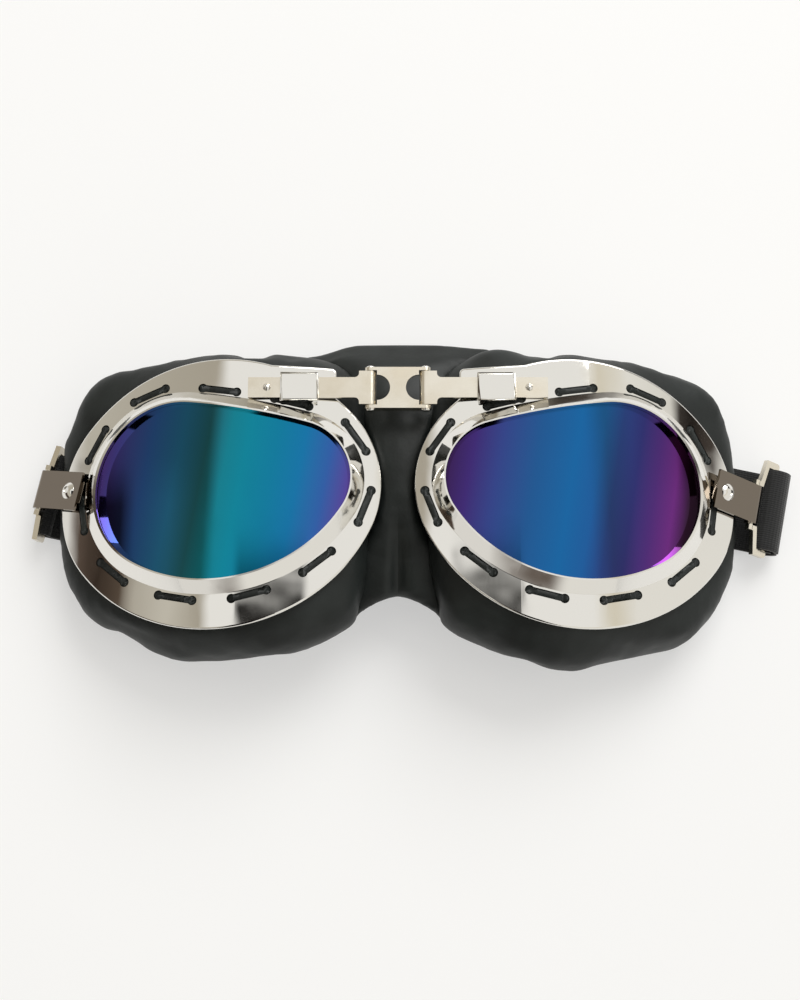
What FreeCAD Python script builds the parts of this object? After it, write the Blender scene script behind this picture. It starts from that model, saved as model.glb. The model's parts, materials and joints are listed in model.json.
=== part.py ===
import FreeCAD
import Part
import math
import os
from collections import namedtuple

V = FreeCAD.Vector

# Goggles lying on their back: X to the viewer's right, Y to the brow, Z out of the lenses.
# The origin is on the table, on the mirror plane, at the height of the lens centres in Y.
# All sizes are millimetres. Pieces are made on the right (positive X) and mirrored.

# An egg is two circles, at the temple and the nose, joined by two wide arcs tangent to both.
Egg = namedtuple("Egg", "temple_x temple_y temple_r nose_x nose_y nose_r top_r bottom_r")

# Curved front of each eye: a cylinder along Y
front_r = 100.0
front_apex_x = 32.0

# Lens opening, and the outer edge of the frame plate, in plan
opening = Egg(58.7, 0.4, 22.8, 27.3, 2.5, 14.8, 285.0, 41.2)
plate_edge = Egg(62.7, -1.2, 30.1, 32.0, 1.5, 27.6, 50.1, 47.0)

# Frame plate
plate_t = 0.8
flange_depth = 2.6
plate_round = 0.5
plate_bore = 1.9
ear_inner_x = 16.5
ear_outer_x = 44.0
ear_inner_top = 32.8
ear_outer_top = 34.0
ear_bottom = 20.0
ear_round = 1.3

# Slots round the lens, on a line this far outside the opening
slot_count = 11
slot_line = 5.0
slot_length = 9.4
slot_width = 1.9
slot_end_r = 1.25
slot_first = 5.0
tab_gap = 0.2
tab_below_front = 0.15

# Lens rim, lens, seal, binding and backing ring, as distances outside the opening or from the front
rim_width = 3.6
rim_height = 3.6
rim_bevel = 3.2
rim_groove = 1.75
lens_overlap = 1.6
lens_crown = 1.2
lens_t = 1.9
lens_play = 0.1
seal_inner = 0.3
binding_inner = 2.0
binding_outer = 7.0
binding_t = 0.8
backing_inner = 0.2
backing_t = 0.9
rivet_room = 2.9

# Face pad, as a ring of sections about its middle
pad_nose_x = 8.0
pad_y = 0.8
pad_overhang = 1.8
pad_brow_height = 39.4
pad_chin_height = 43.6
pad_squareness = 2.5
pad_brow_squareness = 5.0
pad_chin_squareness = 3.6
pad_stations = 16
pad_seam_angle = 101.25
pad_top_drop = 3.2
pad_edge_gap = 0.3
pad_nose_tuck = 1.2
pad_nose_blend = 8
pad_swell_share = 0.29
pad_swell_height = 0.7
pad_draw_in = 3.0
pad_nose_draw_in = 3.6
pad_widest = 0.42
cavity = Egg(60.0, 0.0, 24.5, 31.0, 1.5, 15.5, 200.0, 46.0)
cavity_bulge = 1.2
cover_t = 1.2
foam_play = 0.2
sole_sag = 1.6
sole_sink = 0.5
arch_r = 160.0
arch_half_span = 58.0

# Where the pad lifts over the strap, by its angle about the pad's middle
strap_room_angle = 38.0
strap_room_h = 3.8

# Nose leather between the pads
nose_t = 2.4
nose_gap = 1.3
nose_ends = (-33.0, 45.0)
nose_arch_top = -26.0
nose_arch_r = 11.0
nose_crest_y = 12.0
nose_crest_z = 27.5
nose_drop = 12.5
nose_crown = 1.2
nose_stations = 9
nose_widest = 24.0

# Bridge: link, pins, tongues and keepers
bridge_y = 27.0
pin_x = 7.35
pin_r = 0.8
pin_play = 0.05
pin_head_r = 1.2
pin_head_h = 0.55
pin_head_round = 0.44
knuckle_r = 1.6
tongue_t = 0.8
tongue_half_w = 2.8
tongue_end_x = 40.0
tongue_lift = 0.25
head_half_w = 4.6
head_x = 10.4
head_round = 1.2
link_half_x = 5.6
link_t = 0.9
link_gap = 0.15
link_ear_t = 0.9
link_notch_r = 3.5
keeper_x = 26.3
keeper_length = 10.3
keeper_wall = 0.85
keeper_play_y = 0.25
keeper_play_z = 0.2
keeper_round = 0.6
keeper_root = 3.0
stop_x = 35.0
stop_r = 1.0
stop_h = 0.6
stop_shank_r = 0.6

# Temple: rivet, bracket and strap loop
rivet_x = 89.4
rivet_y = 2.4
rivet_shank_r = 1.3
rivet_play = 0.05
rivet_head_r = 2.3
rivet_head_h = 0.9
rivet_dish_r = 1.0
rivet_dish_depth = 0.45
rivet_foot_r = 2.0
rivet_foot_t = 0.6
rivet_foot_drop = 1.15
temple_tilt = -12.0
bracket_t = 0.75
bracket_half_w = 5.4
bracket_under_half_w = 3.0
bracket_lift = 0.55
bracket_inner = 4.2
bar_clear = 4.67
bar_height = 9.9
loop_bar_r = 0.9
loop_bar_play = 0.05
loop_length = 6.0
loop_t = 1.5
loop_half_w = 13.7
loop_inner_half_w = 7.2
loop_slot_half_w = 11.8
loop_slot_inner = 3.2
loop_arm = 1.0
loop_well_gap = 0.4
loop_strap_bar_r = 1.0
loop_corner_r = 1.0
right_loop_angle = 34.0
left_loop_angle = 100.0

# Elastic strap, folded under the goggles
strap_w = 23.0
strap_t = 1.2
strap_lift = 0.3
strap_bar_gap = 0.25
strap_fold_run = 0.8
strap_tail = 1.5
strap_lap = 0.3
strap_lap_in = 3.1
strap_short_in = 6.2
strap_end_in = 13.6
strap_ramp = 6.0
strap_climb = 15.0
strap_layer = 3.4
strap_layer_ends = (-66.0, 52.0)
strap_turn_r = 1.0
slider_x = -58.0
slider_bars = 4
slider_half_w = 13.6
slider_t = 1.8
slider_slot = 2.8
slider_bar = 2.4
slider_play = 0.25
slider_round = 2.0
slider_bend = 0.9

# Worked out from the sizes above: the pad's width, and the height of the front, set by the loop's bar
pad_side_x = plate_edge.temple_x + plate_edge.temple_r + pad_overhang
pad_half_width = (pad_side_x - pad_nose_x) / 2
pad_x = pad_nose_x + pad_half_width
bar_x = pad_side_x + bar_clear
temple_slope = math.asin((rivet_x - front_apex_x) / front_r)
bar_off = bracket_lift + bracket_t - loop_bar_r - loop_bar_play
bar_out = (bar_x - rivet_x - bar_off * math.sin(temple_slope)) / math.cos(temple_slope)
rivet_z = bar_height + bar_out * math.sin(temple_slope) - bar_off * math.cos(temple_slope)
front_axis_z = rivet_z - front_r * math.cos(temple_slope)
front_apex_z = front_axis_z + front_r
strap_lap_x = pad_side_x - strap_lap_in
strap_short_x = pad_side_x - strap_short_in
strap_end_x = pad_side_x - strap_end_in
tall = 60.0
deep = 200.0
same_place = 1e-5


def front_z(x, below=0.0):
    return front_axis_z + math.sqrt((front_r - below) ** 2 - (x - front_apex_x) ** 2)


# Plan outlines


def wide_arc_centre(egg, radius, side):
    ax, ay = egg.temple_x, egg.temple_y
    bx, by = egg.nose_x, egg.nose_y
    span = math.hypot(bx - ax, by - ay)
    to_temple = radius - egg.temple_r
    to_nose = radius - egg.nose_r
    along = (to_temple**2 - to_nose**2 + span**2) / (2 * span)
    across = side * math.sqrt(to_temple**2 - along**2)
    ux, uy = (bx - ax) / span, (by - ay) / span
    return ax + ux * along - uy * across, ay + uy * along + ux * across


def egg_arcs(egg, grow):
    """The egg's four arcs, counter-clockwise, as (centre x, centre y, radius, first angle, last angle)."""
    tops = wide_arc_centre(egg, egg.top_r, 1)
    bottoms = wide_arc_centre(egg, egg.bottom_r, -1)
    temple = (egg.temple_x, egg.temple_y)
    nose = (egg.nose_x, egg.nose_y)

    def bearing(start, end):
        return math.atan2(end[1] - start[1], end[0] - start[0])

    turns = (
        (temple, egg.temple_r, bearing(bottoms, temple), bearing(tops, temple)),
        (tops, egg.top_r, bearing(tops, temple), bearing(tops, nose)),
        (nose, egg.nose_r, bearing(tops, nose), bearing(bottoms, nose)),
        (bottoms, egg.bottom_r, bearing(bottoms, nose), bearing(bottoms, temple)),
    )
    arcs = []
    for centre, radius, first, last in turns:
        while last < first:
            last += 2 * math.pi
        arcs.append((centre[0], centre[1], radius + grow, first, last))
    return arcs


def arc_point(arc, angle, z=0.0):
    return V(arc[0] + arc[2] * math.cos(angle), arc[1] + arc[2] * math.sin(angle), z)


def egg_wire(egg, grow=0.0, z=0.0):
    edges = []
    for arc in egg_arcs(egg, grow):
        first, last = arc[3], arc[4]
        middle = (first + last) / 2
        points = [arc_point(arc, angle, z) for angle in (first, middle, last)]
        edges.append(Part.Arc(*points).toShape())
    return Part.Wire(edges)


def egg_reach(egg, grow, x, y, angle):
    """How far the egg's outline is from a point inside it, along a bearing."""
    dx, dy = math.cos(angle), math.sin(angle)
    reach = 0.0
    for cx, cy, radius, first, last in egg_arcs(egg, grow):
        along = (cx - x) * dx + (cy - y) * dy
        miss = (cx - x) * dy - (cy - y) * dx
        if abs(miss) > radius:
            continue
        far = along + math.sqrt(radius**2 - miss**2)
        turn = math.atan2(y + far * dy - cy, x + far * dx - cx)
        while turn < first - 1e-9:
            turn += 2 * math.pi
        if turn <= last + 1e-9:
            reach = max(reach, far)
    return reach


def egg_station(egg, grow, distance):
    """Point and direction of travel at a distance along the egg's outline."""
    arcs = egg_arcs(egg, grow)
    distance %= sum(arc[2] * (arc[4] - arc[3]) for arc in arcs)
    for arc in arcs:
        length = arc[2] * (arc[4] - arc[3])
        if distance <= length:
            angle = arc[3] + distance / arc[2]
            return arc_point(arc, angle), math.degrees(angle) + 90
        distance -= length
    return arc_point(arcs[0], arcs[0][3]), math.degrees(arcs[0][3]) + 90


def egg_length(egg, grow):
    return sum(arc[2] * (arc[4] - arc[3]) for arc in egg_arcs(egg, grow))


def prism(wire):
    return Part.Face(wire).extrude(V(0, 0, tall))


def egg_prism(egg, grow=0.0):
    return prism(egg_wire(egg, grow))


def polygon(points):
    return Part.makePolygon([V(*p) for p in points] + [V(*points[0])])


def front(below):
    """Everything behind the curved front, moved back by a depth."""
    return Part.makeCylinder(front_r - below, deep, V(front_apex_x, -deep / 2, front_axis_z), V(0, 1, 0))


def upright_edges(solid, x, y):
    """Edges along Z at a place in plan."""
    found = []
    for edge in solid.Edges:
        box = edge.BoundBox
        if max(box.XLength, box.YLength, abs(box.XMin - x), abs(box.YMin - y)) < same_place:
            found.append(edge)
    return found


def layer(shape, top, bottom):
    return shape.common(front(top)).cut(front(bottom))


def mirror(shape):
    return shape.mirror(V(0, 0, 0), V(1, 0, 0))


# Eye: plate, rim, lens and what holds the lens


def ear_prism(inset):
    corners = (
        (ear_inner_x + inset, ear_bottom, 0),
        (ear_outer_x, ear_bottom, 0),
        (ear_outer_x, ear_outer_top - inset, 0),
        (ear_inner_x + inset, ear_inner_top - inset, 0),
    )
    solid = prism(polygon(corners))
    return solid.makeFillet(ear_round, upright_edges(solid, corners[3][0], corners[3][1]))


def plate_prism(inset):
    return egg_prism(plate_edge, -inset).fuse(ear_prism(inset)).removeSplitter()


def slot_prism(inset):
    """All the slots as upright prisms: a straight middle with a round hole at each end."""
    spacing = egg_length(opening, slot_line) / slot_count
    half_w = slot_width / 2 - inset
    half_l = slot_length / 2
    solids = []
    for number in range(slot_count):
        point, heading = egg_station(opening, slot_line, slot_first + number * spacing)
        bar = Part.makeBox(2 * half_l, 2 * half_w, tall, V(-half_l, -half_w, 0))
        for end in (-half_l, half_l):
            bar = bar.fuse(Part.makeCylinder(slot_end_r - inset, tall, V(end, 0, 0)))
        bar.rotate(V(0, 0, 0), V(0, 0, 1), heading)
        bar.translate(point)
        solids.append(bar)
    return solids


def rounded_block(solid):
    """An upright prism cut to the curved front, with its front edge rounded."""
    block = solid.common(front(0))
    return block.makeFillet(plate_round, [e for e in block.Edges if on_front(e, 0)])


def frame_plate():
    dish = rounded_block(egg_prism(plate_edge)).fuse(rounded_block(ear_prism(0)))
    dish = dish.cut(front(flange_depth)).cut(plate_prism(plate_t).common(front(plate_t)))
    dish = dish.cut(egg_prism(opening, plate_bore))
    for slot in slot_prism(0):
        dish = dish.cut(slot)
    return dish


def lens_rim():
    ring = egg_prism(opening, rim_width).common(front(-rim_height)).cut(front(0)).cut(egg_prism(opening))
    outer = [e for e in ring.Edges if on_front(e, -rim_height) and outside(e, opening, rim_width)]
    ring = ring.makeChamfer(rim_bevel, outer)
    return ring.cut(egg_prism(opening, rim_groove).common(front(-lens_crown - lens_play)))


def on_front(edge, below):
    for share in (0.1, 0.5, 0.9):
        first, last = edge.ParameterRange
        p = edge.valueAt(first + share * (last - first))
        if abs(math.hypot(p.x - front_apex_x, p.z - front_axis_z) - (front_r - below)) > 1e-3:
            return False
    return True


def outside(edge, egg, grow):
    first, last = edge.ParameterRange
    p = edge.valueAt((first + last) / 2)
    angle = math.atan2(p.y - pad_y, p.x - pad_x)
    return abs(math.hypot(p.x - pad_x, p.y - pad_y) - egg_reach(egg, grow, pad_x, pad_y, angle)) < 1e-2


def lens():
    return layer(egg_prism(opening, lens_overlap), -lens_crown, lens_t - lens_crown)


def lens_seal():
    ring = egg_prism(opening, lens_overlap).cut(egg_prism(opening, seal_inner))
    return layer(ring, lens_t - lens_crown, plate_t + binding_t)


def rivet_well():
    return Part.makeCylinder(rivet_room, tall, V(rivet_x, rivet_y, 0))


def binding():
    ring = egg_prism(opening, binding_outer).cut(egg_prism(opening, binding_inner))
    edge = layer(ring, plate_t, plate_t + binding_t).cut(rivet_well())
    for tab in slot_prism(tab_gap):
        edge = edge.fuse(layer(tab, tab_below_front, plate_t + binding_t / 2).cut(rivet_well()))
    return edge.removeSplitter()


def backing_ring():
    ring = egg_prism(opening, binding_outer).cut(egg_prism(opening, backing_inner))
    return layer(ring, plate_t + binding_t, plate_t + binding_t + backing_t).cut(rivet_well())


def keeper():
    half_l = keeper_length / 2
    half_w = tongue_half_w + keeper_play_y
    low = front_apex_z - keeper_root
    roof = tongue_top() + keeper_play_z
    block = Part.makeBox(
        keeper_length,
        2 * (half_w + keeper_wall),
        roof + keeper_wall - low,
        V(keeper_x - half_l, bridge_y - half_w - keeper_wall, low),
    )
    rounded = [e for e in block.Edges if e.BoundBox.ZMin > low + same_place]
    block = block.makeFillet(keeper_round, rounded)
    tunnel = Part.makeBox(deep, 2 * half_w, roof, V(0, bridge_y - half_w, 0))
    return block.cut(tunnel).cut(front(0))


# Face pad: a ring of sections, each in an upright plane through the pad's middle


def pad_quarter(to_nose, to_brow):
    """Height and squareness of one quarter of the pad's outline, a squared-off oval fuller beside the nose."""
    if to_brow:
        return pad_brow_height, pad_brow_squareness if to_nose else pad_squareness
    return pad_chin_height, pad_chin_squareness if to_nose else pad_squareness


def pad_reach(angle):
    """Reach of the pad's widest outline."""
    dx, dy = math.cos(angle), math.sin(angle)
    height, squareness = pad_quarter(dx < 0, dy > 0)
    across, along = abs(dx / pad_half_width), abs(dy / height)
    return (across**squareness + along**squareness) ** (-1 / squareness)


def sole_z(x, angle):
    """Height of the pad's underside: on the table by the temple, over the strap, and arched over the nose."""
    if abs(math.remainder(angle, 2 * math.pi)) < math.radians(strap_room_angle):
        return strap_room_h
    if abs(x) >= arch_half_span:
        return -sole_sink
    return math.sqrt(arch_r**2 - x**2) - math.sqrt(arch_r**2 - arch_half_span**2) - sole_sink


def pad_sides(angle, inset):
    """Two arcs down the outer side, the sole and the inner side of one section, from the outer top round."""
    dx, dy = math.cos(angle), math.sin(angle)

    def point(reach, z):
        return V(pad_x + reach * dx, pad_y + reach * dy, z)

    nose = max(0.0, -dx)
    tuck = pad_nose_tuck * nose**pad_nose_blend - pad_edge_gap * (1 - nose**pad_nose_blend)
    top_out = egg_reach(plate_edge, -tuck, pad_x, pad_y, angle) - inset
    widest = pad_reach(angle) - inset
    low_out = widest - pad_draw_in - pad_nose_draw_in * nose**2
    inner = egg_reach(cavity, 0, pad_x, pad_y, angle) + inset
    sole = sole_z(pad_x + (low_out + inset) * dx, angle) + sole_sag
    top_out_z = front_z(pad_x + top_out * dx, pad_top_drop)
    top_in_z = front_z(pad_x + inner * dx, pad_top_drop)
    widest_z = sole + pad_widest * (top_out_z - sole)

    def swell(end, end_z):
        """A point on the quarter-round between the widest place and an end of the side."""
        reach = widest + (end - widest) * pad_swell_share
        return point(reach, widest_z + (end_z - widest_z) * pad_swell_height)

    top, low = point(top_out, top_out_z), point(low_out, sole)
    middle, low_inner = point(widest, widest_z), point(inner, sole)
    sole_middle = point((inner + low_out) / 2, sole - sole_sag + inset)
    inner_middle = point(inner - cavity_bulge, (sole + top_in_z) / 2)
    return (
        (top, swell(top_out, top_out_z), middle),
        (middle, swell(low_out, sole), low),
        (low, sole_middle, low_inner),
        (low_inner, inner_middle, point(inner, top_in_z)),
    )


def arcs_of(sides):
    return [Part.Arc(*side).toShape() for side in sides]


def pad_core(angle):
    sides = pad_sides(angle, cover_t + foam_play)
    return Part.Wire(arcs_of(sides) + [Part.makeLine(sides[-1][2], sides[0][0])])


def pad_skin(angle):
    """A section of the leather: open at the top, where it is tucked under the plate."""
    outer, inner = pad_sides(angle, 0), pad_sides(angle, cover_t)
    back = [tuple(reversed(side)) for side in reversed(inner)]
    tuck = Part.makeLine(outer[-1][2], back[0][0])
    close = Part.makeLine(back[-1][2], outer[0][0])
    return Part.Wire(arcs_of(outer) + [tuck] + arcs_of(back) + [close])


def pad_ring(section):
    first, step = math.radians(pad_seam_angle), 2 * math.pi / pad_stations
    ring = Part.makeLoft([section(first + n * step) for n in range(pad_stations)], True, False, True)
    return ring.cut(table())


def table():
    return Part.makeBox(2 * deep, 2 * deep, deep, V(-deep, -deep, -deep))


# Nose leather: a bow-tie of sections along Y that fills the space between the two pads


def nose_half_width(y):
    """Half the free width between the pads, less a gap."""
    height, squareness = pad_quarter(True, y > pad_y)
    rise = min(1.0, abs(y - pad_y) / height) ** squareness
    beside_pad = pad_x - pad_half_width * (1 - rise) ** (1 / squareness)
    off_nose = min(plate_edge.nose_r, abs(y - plate_edge.nose_y))
    beside_plate = plate_edge.nose_x - math.sqrt(plate_edge.nose_r**2 - off_nose**2) + pad_nose_tuck
    return min(beside_pad, beside_plate, nose_widest) - nose_gap


def nose_section(y):
    low_end, high_end = nose_ends
    far = (high_end if y > nose_crest_y else low_end) - nose_crest_y
    top = nose_crest_z - nose_drop * ((y - nose_crest_y) / far) ** 2
    half = nose_half_width(y)
    side = top - nose_crown
    left, crest, right = V(-half, y, side), V(0, y, top), V(half, y, side)
    down = V(0, 0, -nose_t)
    upper = Part.Arc(left, crest, right).toShape()
    lower = Part.Arc(right + down, crest + down, left + down).toShape()
    return Part.Wire([upper, Part.makeLine(right, right + down), lower, Part.makeLine(left + down, left)])


def nose_leather():
    low_end, high_end = nose_ends
    step = (high_end - low_end) / (nose_stations - 1)
    leather = Part.makeLoft([nose_section(low_end + n * step) for n in range(nose_stations)], True, False)
    return leather.cut(Part.makeCylinder(nose_arch_r, tall, V(0, nose_arch_top - nose_arch_r, 0)))


# Bridge


def tongue_top():
    return front_apex_z + tongue_lift + tongue_t


def pin_z():
    return tongue_top() - knuckle_r


def link_half_y():
    return head_half_w + link_gap + link_ear_t


def along_y(radius, x, z, half):
    """A round bar along Y, centred on the bridge."""
    return Part.makeCylinder(radius, 2 * half, V(x, bridge_y - half, z), V(0, 1, 0))


def bridge_link():
    half_y = link_half_y()
    top = tongue_top()
    low = pin_z() - knuckle_r
    corner = V(-link_half_x, bridge_y - half_y, top - link_t)
    block = Part.makeBox(2 * link_half_x, 2 * half_y, link_t, corner)
    for side in (-1, 1):
        block = block.cut(Part.makeCylinder(link_notch_r, tall, V(side * link_half_x, bridge_y, 0)))
    for y in (bridge_y - half_y, bridge_y + half_y - link_ear_t):
        ear = Part.makeBox(2 * pin_x, link_ear_t, top - low, V(-pin_x, y, low))
        for x in (-pin_x, pin_x):
            ear = ear.fuse(Part.makeCylinder(knuckle_r, link_ear_t, V(x, y, pin_z()), V(0, 1, 0)))
        block = block.fuse(ear)
    for x in (-pin_x, pin_x):
        block = block.cut(along_y(pin_r, x, pin_z(), 2 * half_y))
    return block.removeSplitter()


def hinge_pin():
    half = link_half_y()
    pin = along_y(pin_r, pin_x, pin_z(), half)
    for side in (-1, 1):
        seat = V(pin_x, bridge_y + side * half, pin_z())
        head = Part.makeCylinder(pin_head_r, pin_head_h, seat, V(0, side, 0))
        end_y = bridge_y + side * (half + pin_head_h)
        rim = [e for e in head.Edges if abs(e.BoundBox.Center.y - end_y) < same_place]
        pin = pin.fuse(head.makeFillet(pin_head_round, rim))
    return pin.removeSplitter()


def tongue():
    low, top = tongue_top() - tongue_t, tongue_top()
    left, right = bridge_y - head_half_w, bridge_y + head_half_w
    near, far = bridge_y - tongue_half_w, bridge_y + tongue_half_w
    outline = (
        (pin_x, left, low), (head_x, left, low), (head_x, near, low), (tongue_end_x, near, low),
        (tongue_end_x, far, low), (head_x, far, low), (head_x, right, low), (pin_x, right, low),
    )
    strip = Part.Face(polygon(outline)).extrude(V(0, 0, tongue_t))
    inside = upright_edges(strip, head_x, near) + upright_edges(strip, head_x, far)
    strip = strip.makeFillet(head_round, inside)
    strip = strip.fuse(along_y(knuckle_r, pin_x, pin_z(), head_half_w))
    strip = strip.cut(along_y(pin_r + pin_play, pin_x, pin_z(), 2 * head_half_w))
    return strip.cut(Part.makeCylinder(stop_shank_r, top, V(stop_x, bridge_y, 0))).removeSplitter()


def dome(radius, height):
    """A round cap standing on the XY plane."""
    ball = (radius**2 + height**2) / (2 * height)
    sphere = Part.makeSphere(ball, V(0, 0, height - ball))
    return sphere.common(Part.makeCylinder(2 * radius, 2 * height))


def tongue_stop():
    cap = dome(stop_r, stop_h).fuse(Part.makeCylinder(stop_shank_r, tongue_t, V(0, 0, -tongue_t)))
    cap.translate(V(stop_x, bridge_y, tongue_top()))
    return cap.removeSplitter()


# Temple: made flat, with U outwards, V along Y and N off the plate, then laid on the plate's slope


def on_temple(shape):
    placed = shape.copy()
    placed.rotate(V(0, 0, 0), V(0, 1, 0), math.degrees(temple_slope))
    placed.translate(V(rivet_x, rivet_y, rivet_z))
    return placed


def bracket():
    bore = loop_bar_r + loop_bar_play
    reach = bracket_inner + bar_out
    upper = Part.makeBox(
        reach, 2 * bracket_half_w, bracket_t, V(-bracket_inner, -bracket_half_w, bracket_lift + bracket_t)
    )
    under = Part.makeBox(
        reach, 2 * bracket_under_half_w, bracket_t, V(-bracket_inner, -bracket_under_half_w, bracket_lift)
    )
    roll_end = V(bar_out, -bracket_half_w, bar_off)
    roll = Part.makeCylinder(bore + bracket_t, 2 * bracket_half_w, roll_end, V(0, 1, 0))
    sheet = upper.fuse(under).fuse(roll)
    sheet = sheet.cut(Part.makeCylinder(bore, tall, V(bar_out, -tall / 2, bar_off), V(0, 1, 0)))
    sheet = sheet.cut(Part.makeCylinder(rivet_shank_r + rivet_play, tall, V(0, 0, -tall / 2)))
    return on_temple(sheet.removeSplitter())


def rivet():
    head_z = bracket_lift + 2 * bracket_t
    shank_low = -rivet_foot_drop - rivet_foot_t
    body = Part.makeCylinder(rivet_shank_r, head_z - shank_low, V(0, 0, shank_low))
    body = body.fuse(Part.makeCylinder(rivet_foot_r, rivet_foot_t, V(0, 0, shank_low)))
    cap = dome(rivet_head_r, rivet_head_h)
    cap = cap.cut(Part.makeCylinder(rivet_dish_r, rivet_head_h, V(0, 0, rivet_head_h - rivet_dish_depth)))
    cap.translate(V(0, 0, head_z))
    return on_temple(body.fuse(cap).removeSplitter())


def rivet_bore():
    depth = rivet_foot_drop + rivet_foot_t
    return on_temple(Part.makeCylinder(rivet_shank_r + rivet_play, 2 * depth, V(0, 0, -depth)))


def strap_loop(angle):
    """A flat Y-shaped loop: a round bar in the bracket, two spreading arms and a round strap bar."""
    outer = loop_length + loop_strap_bar_r
    shoulder = loop_bar_r + bracket_t + loop_bar_play + loop_well_gap
    slot_outer = loop_length - loop_strap_bar_r
    elbow = loop_slot_inner - loop_arm
    low = -loop_t / 2
    outline = (
        (-loop_bar_r, -loop_inner_half_w, low), (loop_bar_r, -loop_inner_half_w, low),
        (elbow, -loop_half_w, low), (outer, -loop_half_w, low),
        (outer, loop_half_w, low), (elbow, loop_half_w, low),
        (loop_bar_r, loop_inner_half_w, low), (-loop_bar_r, loop_inner_half_w, low),
    )
    plate = Part.Face(polygon(outline)).extrude(V(0, 0, loop_t))
    corners = upright_edges(plate, outer, -loop_half_w) + upright_edges(plate, outer, loop_half_w)
    plate = plate.makeFillet(loop_corner_r, corners)
    well = bracket_half_w + loop_well_gap
    window = (
        (-outer, -well, low), (shoulder, -well, low), (loop_slot_inner, -loop_slot_half_w, low),
        (slot_outer, -loop_slot_half_w, low), (slot_outer, loop_slot_half_w, low),
        (loop_slot_inner, loop_slot_half_w, low), (shoulder, well, low), (-outer, well, low),
    )
    plate = plate.cut(Part.Face(polygon(window)).extrude(V(0, 0, loop_t)))
    bar = Part.makeCylinder(loop_bar_r, 2 * loop_inner_half_w, V(0, -loop_inner_half_w, 0), V(0, 1, 0))
    strap_bar = Part.makeCylinder(
        loop_strap_bar_r, 2 * loop_slot_half_w, V(loop_length, -loop_slot_half_w, 0), V(0, 1, 0)
    )
    loop = plate.fuse(bar).fuse(strap_bar).removeSplitter()
    loop.rotate(V(0, 0, 0), V(0, 1, 0), angle)
    loop.translate(V(bar_x, rivet_y, bar_height))
    return loop


def strap_bar_at(angle):
    turn = math.radians(angle)
    return bar_x + loop_length * math.cos(turn), bar_height - loop_length * math.sin(turn)


def tilted(shape, side):
    """The temple pieces hang turned about the upright line through their rivet."""
    turned = shape.copy()
    turned.rotate(V(side * rivet_x, rivet_y, 0), V(0, 0, 1), temple_tilt)
    return turned


# Elastic strap: a ribbon along a path in X and Z, with rounded corners


def ribbon(corners, radii):
    """Solid band of the strap's width and thickness along straight runs joined by tangent arcs."""
    points = [V(x, 0, z) for x, z in corners]
    half = strap_t / 2
    sides = {-half: [], half: []}

    def normal(start, end):
        run = (end - start).normalize()
        return V(-run.z, 0, run.x)

    starts = [points[0]]
    for n in range(1, len(points) - 1):
        before, here, after = points[n - 1], points[n], points[n + 1]
        run_in, run_out = (here - before).normalize(), (after - here).normalize()
        turn = math.acos(max(-1.0, min(1.0, run_in.dot(run_out))))
        left = 1 if run_in.z * run_out.x - run_in.x * run_out.z < 0 else -1
        cut = radii[n - 1] * math.tan(turn / 2)
        first, last = here - run_in * cut, here + run_out * cut
        centre = first + normal(before, here) * (left * radii[n - 1])
        out = (here - centre).normalize()
        for offset, edges in sides.items():
            shift = normal(before, here) * offset
            if (first - starts[-1]).Length > same_place:
                edges.append(Part.makeLine(starts[-1] + shift, first + shift))
            radius = radii[n - 1] - left * offset
            arc = Part.Arc(first + shift, centre + out * radius, last + normal(here, after) * offset)
            edges.append(arc.toShape())
        starts.append(last)
    for offset, edges in sides.items():
        shift = normal(points[-2], points[-1]) * offset
        edges.append(Part.makeLine(starts[-1] + shift, points[-1] + shift))
    start, end = normal(points[0], points[1]) * half, normal(points[-2], points[-1]) * half
    caps = [
        Part.makeLine(points[0] - start, points[0] + start),
        Part.makeLine(points[-1] - end, points[-1] + end),
    ]
    outline = Part.Wire(Part.__sortEdges__(sides[-half] + sides[half] + caps))
    band = Part.Face(outline).extrude(V(0, strap_w, 0))
    band.translate(V(0, rivet_y - strap_w / 2, 0))
    return band


def strap_low():
    return strap_lift + strap_t / 2


def strap_lap_z():
    return strap_low() + strap_t + strap_lap


def wrap_r():
    return loop_strap_bar_r + strap_bar_gap + strap_t / 2


def right_strap_end():
    x, z = strap_bar_at(right_loop_angle)
    wrap, low = wrap_r(), strap_low()
    fold = (z + wrap - low) / 2
    fold_x = x + fold + strap_fold_run
    corners = (
        (fold_x - strap_tail, z - wrap), (x - wrap, z - wrap), (x - wrap, z + wrap),
        (fold_x, z + wrap), (fold_x, low), (strap_end_x, low),
    )
    return ribbon(corners, (wrap, wrap, fold, fold))


def left_strap_end():
    x, z = strap_bar_at(left_loop_angle)
    wrap, low = wrap_r(), strap_low()
    corners = (
        (strap_end_x, low), (x + wrap, low), (x + wrap, z + wrap), (x - wrap, z + wrap),
        (x - wrap, strap_lap_z()), (strap_lap_x, strap_lap_z()),
    )
    return mirror(ribbon(corners, (wrap, wrap, wrap, strap_turn_r)))


def slider_bar_x(number):
    return slider_x + number * (slider_bar + slider_slot)


def slider_z():
    """Height of the slider's middle: its sewn strap end clears the strap's second layer."""
    over = slider_t / 2 + slider_play + strap_t / 2
    return strap_low() + strap_layer + strap_t + strap_lap + over


def strap_slider():
    length = slider_bar_x(slider_bars - 1) + slider_bar - slider_x
    corner = V(slider_x, rivet_y - slider_half_w, slider_z() - slider_t / 2)
    plate = Part.makeBox(length, 2 * slider_half_w, slider_t, corner)
    upright = [e for e in plate.Edges if e.BoundBox.ZLength > slider_t / 2]
    plate = plate.makeFillet(slider_round, upright)
    half = strap_w / 2 + slider_play
    for number in range(slider_bars - 1):
        slot_x = slider_bar_x(number) + slider_bar
        plate = plate.cut(Part.makeBox(slider_slot, 2 * half, tall, V(slot_x, rivet_y - half, 0)))
    return plate


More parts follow.
